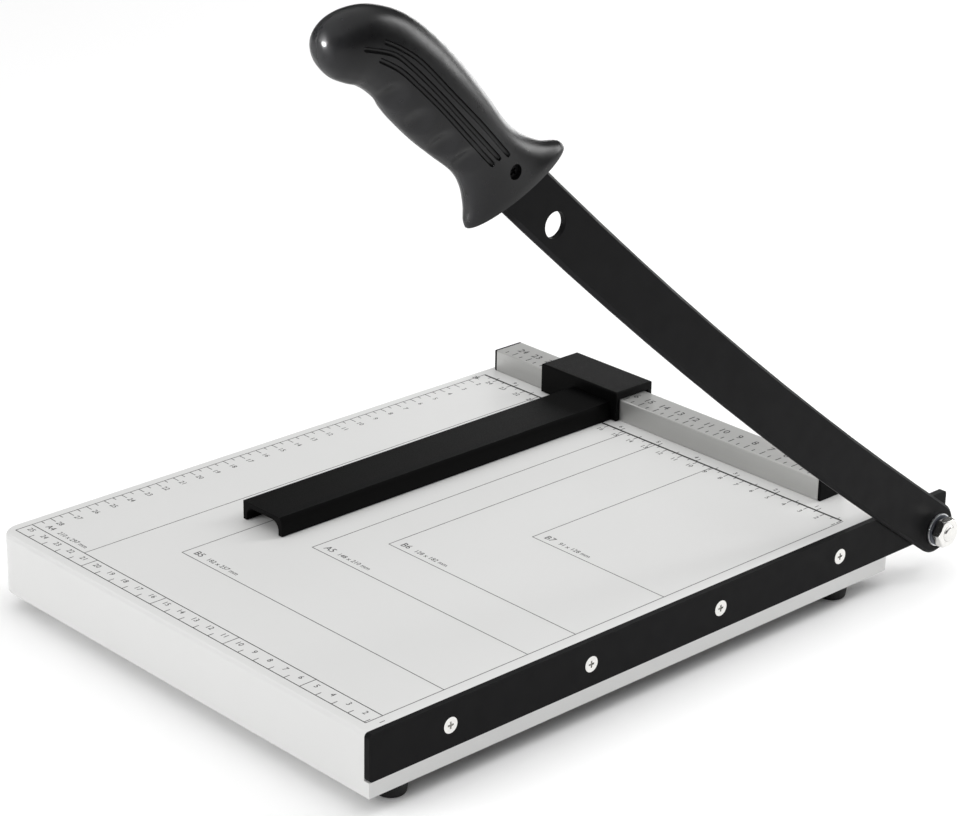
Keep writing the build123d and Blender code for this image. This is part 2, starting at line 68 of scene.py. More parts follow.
TRAY_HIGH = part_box("base_tray")[1]
BLADE_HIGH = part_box("fixed_blade")[1]
FENCE_LOW, FENCE_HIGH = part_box("fence_rail")
ARM_LOW, ARM_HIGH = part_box("moving_blade")
PIVOT = Vector(next(j for j in frame["joints"] if j["name"] == "blade_pivot")["pos_m"])
ARM_MID_X = (ARM_LOW.x + ARM_HIGH.x) / 2
# Zero of the printed sizes: the cut line meets the fence here, on the table's top.
ZERO = Vector((BLADE_HIGH.x, FENCE_LOW.y, TRAY_HIGH.z))


def linear(hex_colour):
    """sRGB hex to the linear RGBA that the shaders take."""
    channels = [int(hex_colour[i : i + 2], 16) / 255 for i in (1, 3, 5)]
    return tuple(c / 12.92 if c <= 0.04045 else ((c + 0.055) / 1.055) ** 2.4 for c in channels) + (1.0,)


def arm_point(settings, along, off, x=ARM_MID_X):
    """Place of a point of the raised arm, from its distance along the arm and off its middle line."""
    c, s = math.cos(settings.raised), math.sin(settings.raised)
    return Vector((x, PIVOT.y - along * c + off * s, PIVOT.z + along * s + off * c))


# ---- Settings ----------------------------------------------------------------------------------


def length(name, description, default):
    return bpy.props.FloatProperty(
        name=name, description=description, default=default, min=0, unit="LENGTH", subtype="DISTANCE"
    )


def angle(name, description, degrees):
    return bpy.props.FloatProperty(
        name=name, description=description, default=math.radians(degrees), unit="ROTATION"
    )


def colour(name, description, hex_colour):
    return bpy.props.FloatVectorProperty(
        name=name,
        description=description,
        default=linear(hex_colour),
        size=4,
        min=0,
        max=1,
        subtype="COLOR",
    )


class CutterEdges(bpy.types.PropertyGroup):
    """Radii of the softened edges."""

    sheet: length("Sheet edges", "Rounding of the enamelled tray's cut edges", 0.25 * MM)
    blade: length("Blade edges", "Rounding of the sawn and ground blades", 0.18 * MM)
    moulded: length("Moulded edges", "Rounding of the plastic guide and caps", 0.6 * MM)
    fence: length("Fence edges", "Rounding of the extruded fence", 0.35 * MM)
    rubber: length("Rubber edges", "Rounding of the moulded feet", 0.7 * MM)
    turned: length("Turned edges", "Rounding of nuts, washers and screw heads", 0.22 * MM)


class CutterHandle(bpy.types.PropertyGroup):
    """Sizes of the moulded handle."""

    raised: angle("Arm angle", "Rise of the arm over the table", 40)
    around: bpy.props.IntProperty(
        name="Points around", description="Points in each ring", default=104, min=16
    )
    ring_step: length("Ring spacing", "Distance between two rings along the handle", 0.8 * MM)
    groove: length("Groove radius", "Radius of the three long grip grooves", 1.1 * MM)
    groove_depth: length("Groove depth", "Depth of the three long grip grooves", 1.2 * MM)
    dent_depth: length("Dent depth", "Depth of each finger dent", 1.6 * MM)
    dent_along: length("Dent length", "Half of a finger dent's size along the grip", 7.0 * MM)
    dent_across: length("Dent width", "Half of a finger dent's size across the grip", 7.6 * MM)
    screw_well: length("Screw well", "Radius of the wells over the handle's screws", 3.1 * MM)
    well_middle: length("Well middle", "Middle of a well's drill from the arm's middle", 14.0 * MM)
    well_reach: length("Well reach", "Half length of a well's drill", 9.0 * MM)
    seam: length("Seam", "Rounding of each shell where the two meet", 0.35 * MM)


class CutterPrint(bpy.types.PropertyGroup):
    """Sizes of the printed scales."""

    film: length("Ink thickness", "Height of the printed ink over the enamel", 0.03 * MM)
    thin: length("Thin line", "Width of a size line", 0.42 * MM)
    thick: length("Thick line", "Width of the line along the fence", 1.2 * MM)
    tick: length("Tick width", "Width of a scale's mark", 0.38 * MM)
    digits: length("Digit height", "Height of the scale's digits", 2.9 * MM)
    label: length("Label height", "Height of the paper sizes", 3.3 * MM)


class CutterColours(bpy.types.PropertyGroup):
    """Colours of the finishes."""

    enamel: colour("Enamel", "White stoving enamel of the table", "#DADAD9")
    ink: colour("Ink", "Black screen ink of the scales", "#1C1C1C")
    grey_ink: colour("Grey ink", "Thin screen ink of the size lines", "#565656")
    black_steel: colour("Black steel", "Lacquered black oxide of the blades", "#101011")
    aluminium: colour("Aluminium", "Satin anodised fence", "#B9B9B7")
    guide: colour("Guide", "Black moulded guide", "#040404")
    handle: colour("Handle", "Black moulded handle", "#121213")
    floor: colour("Floor", "Plain studio floor", "#FFFFFF")


class CutterStage(bpy.types.PropertyGroup):
    """Studio and camera."""

    azimuth: angle("Azimuth", "Camera's turn from the near side", 46.55)
    elevation: angle("Elevation", "Camera's height angle", 22.34)
    roll: angle("Roll", "Camera's roll", 0.98)
    place: bpy.props.FloatVectorProperty(
        name="Camera", description="Camera's place", default=(0.8677, -0.8193, 0.5841), unit="LENGTH"
    )
    lens: bpy.props.FloatProperty(
        name="Lens", description="Focal length in mm", default=107.4, unit="CAMERA"
    )
    floor: length("Floor", "Side of the floor", 12.0)
    sky: bpy.props.FloatProperty(name="Sky", description="Brightness overhead", default=1.5, min=0)
    horizon: bpy.props.FloatProperty(
        name="Horizon", description="Brightness near the horizon", default=0.12, min=0
    )


# ---- Modelling by operators --------------------------------------------------------------------

MERGE_DISTANCE = 0.002 * MM
THIN_MERGE = 0.001 * MM
INK_MERGE = 0.0005 * MM
SEAM_ANGLE = math.radians(30)
FLAT_ANGLE = math.radians(0.6)
SHARP_ANGLE = math.radians(40)
SMOOTH_ANGLE = 32
HANDLE_SMOOTH_ANGLE = 38


def pick(*pieces):
    """Object mode, with only these pieces selected and the first one active."""
    if bpy.context.object and bpy.context.object.mode != "OBJECT":
        bpy.ops.object.mode_set(mode="OBJECT")
    bpy.ops.object.select_all(action="DESELECT")
    for piece in pieces:
        piece.select_set(True)
    if pieces:
        bpy.context.view_layer.objects.active = pieces[0]


def blank(name):
    """A new mesh object at the origin, open in edit mode."""
    pick()
    bpy.ops.object.add(type="MESH", enter_editmode=True, location=(0, 0, 0))
    bpy.context.object.name = name
    return bpy.context.object


def finish_with(piece, kind, **settings):
    """Adds a modifier to a piece and applies it."""
    pick(piece)
    bpy.ops.object.modifier_add(type=kind)
    modifier = piece.modifiers[-1]
    for key, value in settings.items():
        setattr(modifier, key, value)
    bpy.ops.object.modifier_apply(modifier=modifier.name)


def cut_with(piece, cutter):
    """Cuts one closed mesh out of another and deletes the cutter."""
    finish_with(piece, "BOOLEAN", operation="DIFFERENCE", solver="EXACT", object=cutter)
    bpy.data.objects.remove(cutter)


def join(name, pieces):
    """Joins pieces into one with a name."""
    pick(*pieces)
    if len(pieces) > 1:
        bpy.ops.object.join()
    pieces[0].name = name
    return pieces[0]


def place(piece):
    """Moves a piece's place into its mesh, so that its object sits at the origin."""
    pick(piece)
    bpy.ops.object.transform_apply(location=True, rotation=True, scale=True)


def smooth(piece, degrees=SMOOTH_ANGLE):
    """Shades smooth up to an angle, and keeps the large flats flat."""
    pick(piece)
    bpy.ops.object.shade_smooth_by_angle(angle=math.radians(degrees))
    finish_with(piece, "WEIGHTED_NORMAL", keep_sharp=True, weight=60)


def merged_copy(node, name):
    """Copy of a frame node with its loose triangles merged into closed flats."""
    piece = bpy.data.objects.new(name, NODES[node].data.copy())
    bpy.context.scene.collection.objects.link(piece)
    piece.data.materials.clear()
    pick(piece)
    bpy.ops.object.mode_set(mode="EDIT")
    bpy.ops.mesh.select_all(action="SELECT")
    bpy.ops.mesh.remove_doubles(threshold=MERGE_DISTANCE)
    bpy.ops.mesh.customdata_custom_splitnormals_clear()
    bpy.ops.mesh.dissolve_limited(angle_limit=FLAT_ANGLE)
    bpy.ops.object.mode_set(mode="OBJECT")
    return piece


def softened(node, radius, segments=2):
    """A frame node with its sharp edges rounded over, which stands for the node."""
    piece = merged_copy(node, node + "_soft")
    finish_with(
        piece,
        "BEVEL",
        width=radius,
        segments=segments,
        limit_method="ANGLE",
        angle_limit=SHARP_ANGLE,
        miter_outer="MITER_ARC",
    )
    smooth(piece)
    return piece


def dress(piece, material):
    """Gives a piece its finish in place of any it has."""
    piece.data.materials.clear()
    piece.data.materials.append(material)


def fit(piece, body, slot, material, *replaced):
    """Gives a piece its finish and its body, and hides the nodes that it stands for."""
    dress(piece, material)
    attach(piece, body)
    if replaced:
        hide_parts(*replaced)
    return piece


# ---- Finishes ----------------------------------------------------------------------------------


def add_node(tree, kind, inputs=None, **settings):
    """Adds a node with its settings, and sets or links its inputs."""
    made = tree.nodes.new(kind)
    for key, value in settings.items():
        setattr(made, key, value)
    for key, value in (inputs or {}).items():
        if isinstance(value, bpy.types.NodeSocket):
            tree.links.new(value, made.inputs[key])
        else:
            made.inputs[key].default_value = value
    return made


def per_metre(size_mm):
    """Noise scale whose features have this size in millimetres."""
    return 1000 / size_mm


def finish(name, colours, tone_mm, rough, grain_mm, grain_height_mm, stretch=(1, 1, 1), **shader):
    """A finish with colour that drifts between two tones, roughness that drifts, and a surface grain."""
    if name in bpy.data.materials:
        return bpy.data.materials[name]
    material = bpy.data.materials.new(name)
    material.use_nodes = True
    tree = material.node_tree
    tree.nodes.clear()
    place_on = add_node(tree, "ShaderNodeTexCoord")
    turned = add_node(tree, "ShaderNodeMapping", {"Vector": place_on.outputs["Object"], "Scale": stretch})
    drift = add_node(
        tree,
        "ShaderNodeTexNoise",
        {"Vector": place_on.outputs["Object"], "Scale": per_metre(tone_mm), "Detail": 5.0},
    )
    tone = add_node(
        tree,
        "ShaderNodeMix",
        {"Factor": drift.outputs["Fac"], "A": colours[0], "B": colours[1]},
        data_type="RGBA",
    )
    grain = add_node(
        tree,
        "ShaderNodeTexNoise",
        {"Vector": turned.outputs["Vector"], "Scale": per_metre(grain_mm), "Detail": 3.0},
    )
    sheen = add_node(
        tree,
        "ShaderNodeMapRange",
        {
            "Value": grain.outputs["Fac"],
            "From Min": 0.3,
            "From Max": 0.7,
            "To Min": rough[0],
            "To Max": rough[1],
        },
    )
    bump = add_node(
        tree,
        "ShaderNodeBump",
        {"Height": grain.outputs["Fac"], "Strength": 0.6, "Distance": grain_height_mm * MM},
    )
    surface = add_node(
        tree,
        "ShaderNodeBsdfPrincipled",
        {
            "Base Color": tone.outputs["Result"],
            "Roughness": sheen.outputs["Result"],
            "Normal": bump.outputs["Normal"],
            **shader,
        },
    )
    add_node(tree, "ShaderNodeOutputMaterial", {"Surface": surface.outputs["BSDF"]})
    return material


def tones(base, spread):
    """Two tones of a colour, darker and lighter by a share."""
    return [tuple(min(1, c * k) for c in base[:3]) + (1.0,) for k in (1 - spread, 1 + spread)]


def white_enamel():
    # White stoving enamel, sprayed and baked on sheet steel: a satin gloss with a slight orange peel.
    base = tones(bpy.context.scene.cutter_colours.enamel, 0.015)
    shader = {"IOR": 1.5, "Coat Weight": 0.15}
    return finish("white_stoving_enamel", base, 60, (0.30, 0.38), 2.6, 0.02, **shader)


def screen_ink():
    # Black screen ink, drawn through a mesh: matt, with its density a little uneven.
    base = tones(bpy.context.scene.cutter_colours.ink, 0.25)
    return finish("black_screen_ink", base, 1.2, (0.5, 0.65), 0.5, 0.006, **{"IOR": 1.5})


def grey_screen_ink():
    # The same ink in thin size lines, where it lies thinner and reads grey.
    base = tones(bpy.context.scene.cutter_colours.grey_ink, 0.15)
    return finish("grey_screen_ink", base, 1.2, (0.5, 0.65), 0.5, 0.006, **{"IOR": 1.5})


def black_steel():
    # Blackened steel under satin lacquer: nearly even black, with the rolling marks along the blade.
    base = tones(bpy.context.scene.cutter_colours.black_steel, 0.12)
    shader = {"IOR": 1.5, "Specular IOR Level": 0.07}
    drawn_out = (1, 0.12, 0.12)
    return finish("lacquered_black_steel", base, 18, (0.40, 0.50), 0.9, 0.012, drawn_out, **shader)


def anodised_aluminium():
    # Extruded aluminium, satin anodised: fine die lines run along the fence and draw its highlight out.
    base = tones(bpy.context.scene.cutter_colours.aluminium, 0.03)
    drawn_out = (0.02, 1, 1)
    return finish(
        "satin_anodised_aluminium", base, 25, (0.36, 0.46), 0.6, 0.008, drawn_out, **{"Metallic": 0.75}
    )


def guide_plastic():
    # Injection-moulded ABS with a spark-eroded grain of about half a millimetre: a dull deep black.
    base = tones(bpy.context.scene.cutter_colours.guide, 0.15)
    shader = {"IOR": 1.54, "Specular IOR Level": 0.06}
    return finish("fine_grain_abs", base, 12, (0.45, 0.58), 0.55, 0.03, **shader)


def handle_plastic():
    # Polypropylene from a polished mould: soft broad highlights, with flow marks a few millimetres wide.
    base = tones(bpy.context.scene.cutter_colours.handle, 0.10)
    shader = {"IOR": 1.49, "Specular IOR Level": 0.24}
    return finish("moulded_polypropylene", base, 15, (0.27, 0.33), 3.2, 0.012, **shader)


def foot_rubber():
    # Moulded rubber, matt, with a dusty bloom in patches.
    base = (linear("#0B0B0B"), linear("#191919"))
    return finish("matt_rubber", base, 4, (0.7, 0.85), 0.7, 0.04, **{"IOR": 1.52})


def zinc_steel():
    # Bright zinc on steel: a pale cool metal with a faint crystalline mottle.
    base = (linear("#C4C6C8"), linear("#E2E3E4"))
    return finish("zinc_plated_steel", base, 1.5, (0.24, 0.36), 0.7, 0.006, **{"Metallic": 1.0})


def nickel_steel():
    # Bright nickel over turned steel: clear reflections, broken by fine turning marks.
    base = (linear("#DAD9D6"), linear("#F2F1EE"))
    return finish("bright_nickel", base, 3, (0.14, 0.22), 0.4, 0.004, **{"Metallic": 1.0})


def spring_steel():
    # Tempered spring strip, blued: dark grey metal with a cool cast.
    base = (linear("#4C4F57"), linear("#6A6C72"))
    return finish("blued_spring_steel", base, 4, (0.3, 0.42), 0.8, 0.008, **{"Metallic": 1.0})


def turned_brass():
    # Turned brass: warm metal with rings of tool marks.
    base = (linear("#B08C46"), linear("#CCA962"))
    return finish("turned_brass", base, 5, (0.25, 0.36), 0.3, 0.006, **{"Metallic": 1.0})


# ---- Table, blade strip and feet ---------------------------------------------------------------

FEET = ("foot_near_left", "foot_near_right", "foot_far_left", "foot_far_right")


class CUTTER_OT_table(bpy.types.Operator):
    """Folded table and fixed blade, with their cut edges rounded over, and the zinc finish of the backing bar"""

    bl_idname = "cutter.table"
    bl_label = "Table and Fixed Blade"

    def execute(self, context):
        edges = context.scene.cutter_edges
        tray = softened("base_tray", edges.sheet)
        fit(tray, "table", "white_enamel", white_enamel(), "base_tray")
        blade = softened("fixed_blade", edges.blade)
        fit(blade, "table", "black_steel", black_steel(), "fixed_blade")
        dress(NODES["backing_bar"], zinc_steel())
        return {"FINISHED"}


class CUTTER_OT_feet(bpy.types.Operator):
    """Four rubber feet with their screws and nuts"""

    bl_idname = "cutter.feet"
    bl_label = "Feet"

    def execute(self, context):
        edges = context.scene.cutter_edges
        for node in FEET:
            fit(softened(node, edges.rubber, 3), "table", "foot_rubber", foot_rubber(), node)
        for node in ("foot_screws", "foot_nuts"):
            fit(softened(node, edges.turned), "table", "zinc_steel", zinc_steel(), node)
        return {"FINISHED"}


# ---- Screws with a cross recess ----------------------------------------------------------------

RECESS_RADIUS = 1.9 * MM
RECESS_DEPTH = 1.3 * MM
# Shares of the recess's radius: half width of an arm of the cross, and how far its tip narrows.
RECESS_ARM = 0.26
RECESS_TIP = (0.35, 0.6, 1)


def cross_cutter(centre, normal, radius, depth):
    """Tapered cross-shaped bit that stands along a normal, with its tip inside the screw's head."""
    turn = Vector(normal).to_track_quat("Z", "Y").to_euler()
    arms = []
    for quarter in range(2):
        pick()
        half_sizes = (radius, radius * RECESS_ARM, depth)
        bpy.ops.mesh.primitive_cube_add(size=2, location=(0, 0, 0), scale=half_sizes)
        arm = bpy.context.object
        bpy.ops.object.mode_set(mode="EDIT")
        mesh = bmesh.from_edit_mesh(arm.data)
        for face in mesh.faces:
            face.select_set(face.normal.z < -0.9)
        bmesh.update_edit_mesh(arm.data)
        bpy.ops.transform.resize(value=RECESS_TIP)
        bpy.ops.object.mode_set(mode="OBJECT")
        arm.rotation_euler = (0, 0, quarter * math.pi / 2)
        place(arm)
        arms.append(arm)
    finish_with(arms[0], "BOOLEAN", operation="UNION", solver="EXACT", object=arms[1])
    bpy.data.objects.remove(arms[1])
    bit = arms[0]
    bit.location = centre
    bit.rotation_euler = turn
    place(bit)
    return bit


def recess_heads(piece, axis, side, radius, depth):
    """Cuts a cross recess into the head of every screw in a piece, on one side of an axis."""
    mesh = bmesh.new()
    mesh.from_mesh(piece.data)
    left = set(mesh.verts)
    centres = []
    while left:
        island = set()
        queue = [left.pop()]
        while queue:
            vertex = queue.pop()
            island.add(vertex)
            for edge in vertex.link_edges:
                other = edge.other_vert(vertex)
                if other in left:
                    left.remove(other)
                    queue.append(other)
        low = Vector([min(v.co[i] for v in island) for i in range(3)])
        high = Vector([max(v.co[i] for v in island) for i in range(3)])
        centre = (low + high) / 2
        centre[axis] = high[axis] if side > 0 else low[axis]
        centres.append(centre)
    mesh.free()
    normal = Vector((0, 0, 0))
    normal[axis] = side
    for centre in sorted(centres, key=tuple):
        cut_with(piece, cross_cutter(centre, normal, radius, depth))


class CUTTER_OT_screws(bpy.types.Operator):
    """Screws of the blade strip, fence and guide, with cross recesses"""

    bl_idname = "cutter.screws"
    bl_label = "Screws"

    def execute(self, context):
        edges = context.scene.cutter_edges
        for node, body, axis, side in (
            ("fixed_blade_screws", "table", 0, 1),
            ("fence_screws", "table", 2, 1),
            ("guide_screws", "guide", 2, 1),
        ):
            screws = softened(node, edges.turned)
            recess_heads(screws, axis, side, RECESS_RADIUS, RECESS_DEPTH)
            smooth(screws)
            fit(screws, body, "nickel_steel", nickel_steel(), node)
        return {"FINISHED"}


# ---- Fence and guide ---------------------------------------------------------------------------


class CUTTER_OT_fence(bpy.types.Operator):
    """Extruded fence with its moulded end caps"""

    bl_idname = "cutter.fence"
    bl_label = "Fence"

    def execute(self, context):
        edges = context.scene.cutter_edges
        rail = softened("fence_rail", edges.fence)
        fit(rail, "table", "fence_aluminium", anodised_aluminium(), "fence_rail")
        for node in ("fence_cap_left", "fence_cap_right"):
            fit(softened(node, edges.fence), "table", "black_plastic", guide_plastic(), node)
        return {"FINISHED"}


class CUTTER_OT_guide(bpy.types.Operator):
    """Sliding paper guide: head over the fence and channel arm across the table"""

    bl_idname = "cutter.guide"
    bl_label = "Paper Guide"

    def execute(self, context):
        edges = context.scene.cutter_edges
        for node in ("guide_head", "guide_arm"):
            fit(softened(node, edges.moulded, 3), "guide", "black_plastic", guide_plastic(), node)
        dress(NODES["guide_leaf_spring"], spring_steel())
        return {"FINISHED"}


# ---- Blade arm and pivot -----------------------------------------------------------------------


class CUTTER_OT_arm(bpy.types.Operator):
    """Bowed moving blade with its hang hole"""

    bl_idname = "cutter.arm"
    bl_label = "Moving Blade"

    def execute(self, context):
        edges = context.scene.cutter_edges
        fit(softened("moving_blade", edges.blade), "arm", "black_steel", black_steel(), "moving_blade")
        return {"FINISHED"}


class CUTTER_OT_pivot(bpy.types.Operator):
    """Pivot bolt with its bush, washers and nut"""

    bl_idname = "cutter.pivot"
    bl_label = "Pivot"

    def execute(self, context):
        edges = context.scene.cutter_edges
        bodies = frame["record"]["behaviour"]["bodies"]
        for node, slot, material in (
            ("pivot_bolt", "nickel_steel", nickel_steel()),
            ("pivot_nut", "nickel_steel", nickel_steel()),
            ("pivot_washer", "zinc_steel", zinc_steel()),
            ("pivot_spring_washer", "spring_steel", spring_steel()),
            ("pivot_bush", "bush_brass", turned_brass()),
        ):
            body = next(name for name, members in bodies.items() if node in members)
            fit(softened(node, edges.turned), body, slot, material, node)
        return {"FINISHED"}


# ---- Handle ------------------------------------------------------------------------------------

# Sections of the handle: along the arm, off its middle line, lean in degrees, half height, half width.
HANDLE_SECTIONS = (
    (361.9, -6.0, 25.0, 27.2, 8.2),
    (364.6, -5.3, 24.5, 26.4, 8.6),
    (370.5, -5.4, 23.5, 21.4, 8.8),
    (379.5, -4.4, 21.0, 16.6, 9.2),
    (389.5, -3.4, 16.0, 14.6, 9.8),
    (404.0, -2.2, 9.0, 15.8, 10.7),
    (421.0, -0.9, -1.0, 17.2, 11.3),
    (438.0, 0.1, -8.0, 17.4, 11.4),
    (452.0, 0.4, -16.0, 16.0, 11.3),
    (463.0, -2.4, -26.0, 14.8, 11.0),
    (470.4, -6.6, -33.0, 13.6, 10.5),
    (476.0, -10.8, -39.0, 11.2, 9.2),
    (479.8, -13.8, -43.0, 7.2, 6.4),
    (481.4, -15.0, -45.0, 3.2, 3.0),
)
# Grip grooves and finger dents: along the arm, off its middle line, in millimetres.
GROOVES = (
    ((465.2, 0.3), (456.8, 2.3), (444.8, 3.4), (424.0, 2.0), (401.9, 0.7), (381.4, -1.1)),
    ((471.6, -6.6), (459.0, -1.2), (448.0, -0.4), (430.7, -1.2), (411.0, -2.8), (384.9, -4.6)),
    ((463.0, -5.9), (451.7, -3.9), (439.5, -4.1), (424.7, -4.9), (404.4, -6.6), (386.0, -7.9)),
)
DENTS = ((445.5, -11.7), (428.8, -13.2), (412.2, -13.4), (397.9, -12.6))
# Screw wells of the outer (1) and inner (-1) flank, in the same way.
SCREW_WELLS = {1: (374.0, -4.1), -1: (434.0, -7.8)}
GUARD_LIP = 1.6 * MM
FEWEST_STEPS = 3
GROOVE_STEPS = 10
GROOVE_TAPER = 0.6
WELL_POINTS = 40
# A place well clear of the handle's flank, from which its skin is looked for.
CLEAR_OF_FLANK = 40 * MM


def through(values, share):
    """Smooth curve through four neighbouring values, between the middle two."""
    a, b, c, d = values
    return b + 0.5 * share * (c - a + share * (2 * a - 5 * b + 4 * c - d + share * (3 * (b - c) + d - a)))


def run_through(rows, steps_between):
    """Rows worked out between the given ones, so that each of their values runs smoothly."""
    last = len(rows) - 1
    run = []
    for i in range(last):
        four = [rows[min(max(i + k, 0), last)] for k in (-1, 0, 1, 2)]
        steps = steps_between(four[1], four[2])
        for step in range(steps):
            run.append([through(values, step / steps) for values in zip(*four)])
    run.append(list(rows[last]))
    return run


def handle_stations(settings):
    """Sections with more of them worked out between, about one ring spacing apart."""
    return run_through(
        HANDLE_SECTIONS,
        lambda near, far: max(FEWEST_STEPS, round((far[0] - near[0]) * MM / settings.ring_step)),
    )


def select_rings(piece, first, count, around):
    """Selects rings of vertices by their number."""
    mesh = bmesh.from_edit_mesh(piece.data)
    mesh.verts.ensure_lookup_table()
    for vertex in mesh.verts:
        vertex.select = first * around <= vertex.index < (first + count) * around
    mesh.select_flush_mode()
    bmesh.update_edit_mesh(piece.data)


def handle_body(settings):
    """Closed handle: rings through the sections, bridged, with a flat guard end inset from its rim and a tapered
    butt closed by a poked fan.
    """
    body = blank("handle_body")
    around = settings.around
    stations = handle_stations(settings)
    for along, off, lean, half_height, half_width in stations:
        centre = arm_point(settings, along * MM, off * MM)
        bpy.ops.mesh.select_all(action="DESELECT")
        bpy.ops.mesh.primitive_circle_add(vertices=around, radius=MM, location=centre)
        bpy.ops.transform.resize(value=(half_width, half_height, 1), center_override=centre)
        turn = math.pi / 2 - settings.raised - math.radians(lean)
        bpy.ops.transform.rotate(value=-turn, orient_axis="X", center_override=centre)
    for ring in range(len(stations) - 1):
        select_rings(body, ring, 2, around)
        bpy.ops.mesh.bridge_edge_loops()
    select_rings(body, 0, 1, around)
    bpy.ops.mesh.edge_face_add()
    bpy.ops.mesh.inset(thickness=GUARD_LIP)
    select_rings(body, len(stations) - 1, 1, around)
    bpy.ops.mesh.edge_face_add()
    bpy.ops.mesh.poke()
    bpy.ops.mesh.select_all(action="SELECT")
    bpy.ops.mesh.normals_make_consistent(inside=False)
    bpy.ops.object.mode_set(mode="OBJECT")
    return body


def surface_x(body, point, side):
    """X of the handle's skin beside a point, on its outer (1) or inner (-1) flank."""
    start = Vector((ARM_MID_X + side * CLEAR_OF_FLANK, point.y, point.z))
    hit, spot, _, _ = body.ray_cast(start, Vector((-side, 0, 0)))
    if not hit:
        raise RuntimeError("a grip detail lies off the handle")
    return spot.x


def press_dents(body, settings):
    """Presses the finger dents into both flanks: ovals that run across the grip and fade out all round."""
    along_grip = (arm_point(settings, 1, 0) - arm_point(settings, 0, 0)).normalized()
    for along, off in DENTS:
        for side in (1, -1):
            point = arm_point(settings, along * MM, off * MM)
            point.x = surface_x(body, point, side)
            pick(body)
            bpy.ops.object.mode_set(mode="EDIT")
            mesh = bmesh.from_edit_mesh(body.data)
            inwards = -min(mesh.verts, key=lambda v: (v.co - point).length).normal
            for vertex in mesh.verts:
                reach = vertex.co - point
                along_part = reach.dot(along_grip)
                across_part = (reach - along_grip * along_part).length
                spread = (along_part / settings.dent_along) ** 2 + (across_part / settings.dent_across) ** 2
                if spread < 1:
                    vertex.co += inwards * settings.dent_depth * (1 - spread) ** 2
            bmesh.update_edit_mesh(body.data)
            bpy.ops.mesh.select_all(action="SELECT")
            bpy.ops.mesh.normals_make_consistent(inside=False)
            bpy.ops.object.mode_set(mode="OBJECT")


def groove_cutter(body, settings, points, side):
    """Round tube that follows the handle's skin along a smooth line through the points."""
    line = bpy.data.curves.new("groove_line", "CURVE")
    line.dimensions = "3D"
    spline = line.splines.new("POLY")
    places = run_through(points, lambda near, far: GROOVE_STEPS)
    spline.points.add(len(places) - 1)
    for spot, (along, off) in zip(spline.points, places):
        point = arm_point(settings, along * MM, off * MM)
        point.x = surface_x(body, point, side) - side * (settings.groove_depth - settings.groove)
        spot.co = (*point, 1)
        spot.radius = 1
    spline.points[0].radius = GROOVE_TAPER
    spline.points[-1].radius = GROOVE_TAPER
    line.bevel_depth = settings.groove
    line.bevel_resolution = 3
    line.use_fill_caps = True
    tube = bpy.data.objects.new("groove", line)
    bpy.context.scene.collection.objects.link(tube)
    pick(tube)
    bpy.ops.object.convert(target="MESH")
    tube = bpy.context.object
    bpy.ops.object.mode_set(mode="EDIT")
    bpy.ops.mesh.select_all(action="SELECT")
    bpy.ops.mesh.remove_doubles(threshold=THIN_MERGE)
    bpy.ops.mesh.normals_make_consistent(inside=False)
    bpy.ops.object.mode_set(mode="OBJECT")
    return tube


def shell(body, side, settings):
    """One half of the handle, cut off at the arm's middle, with its seam edge rounded."""
    name = "handle_outer_shell" if side > 0 else "handle_inner_shell"
    half = bpy.data.objects.new(name, body.data.copy())
    bpy.context.scene.collection.objects.link(half)
    pick(half)
    bpy.ops.object.mode_set(mode="EDIT")
    bpy.ops.mesh.select_all(action="SELECT")
    bpy.ops.mesh.bisect(
        plane_co=(ARM_MID_X, 0, 0),
        plane_no=(1, 0, 0),
        use_fill=True,
        clear_inner=side > 0,
        clear_outer=side < 0,
    )
    bpy.ops.mesh.select_all(action="DESELECT")
    mesh = bmesh.from_edit_mesh(half.data)
    for edge in mesh.edges:
        on_seam = all(abs(v.co.x - ARM_MID_X) < THIN_MERGE for v in edge.verts)
        edge.select_set(on_seam and edge.calc_face_angle(0) > SEAM_ANGLE)
    bmesh.update_edit_mesh(half.data)
    bpy.ops.mesh.bevel(offset=settings.seam, segments=2, affect="EDGES", clamp_overlap=True)
    bpy.ops.mesh.select_all(action="SELECT")
    bpy.ops.mesh.normals_make_consistent(inside=False)
    bpy.ops.object.mode_set(mode="OBJECT")
    return half


class CUTTER_OT_handle(bpy.types.Operator):
    """Moulded handle in two shells, with a finger guard, grip grooves, finger dents and screw wells"""

    bl_idname = "cutter.handle"
    bl_label = "Handle"

    def execute(self, context):
        settings = context.scene.cutter_handle
        body = handle_body(settings)
        cutters = [groove_cutter(body, settings, points, side) for points in GROOVES for side in (1, -1)]
        press_dents(body, settings)
        for cutter in cutters:
            cut_with(body, cutter)
        for node, side in (("handle_outer_half", 1), ("handle_inner_half", -1)):
            half = shell(body, side, settings)
            cut_with(half, merged_copy("moving_blade", "tang_pocket"))
            along, off = SCREW_WELLS[side]
            well = arm_point(settings, along * MM, off * MM, ARM_MID_X + side * settings.well_middle)
            pick()
            bpy.ops.mesh.primitive_cylinder_add(
                vertices=WELL_POINTS,
                radius=settings.screw_well,
                depth=2 * settings.well_reach,
                location=well,
                rotation=(0, math.pi / 2, 0),
            )
            drill = bpy.context.object
            place(drill)
            cut_with(half, drill)
            smooth(half, HANDLE_SMOOTH_ANGLE)
            fit(half, "arm", "handle_plastic", handle_plastic(), node)
        bpy.data.objects.remove(body)
        screws = softened("handle_screws", context.scene.cutter_edges.turned)
        fit(screws, "arm", "black_steel", black_steel(), "handle_screws")
        dress(NODES["handle_inserts"], turned_brass())
        return {"FINISHED"}


# ---- Printed scales ----------------------------------------------------------------------------

# The lettering's size setting over the height of its digits.
SIZE_PER_HEIGHT = 1.38


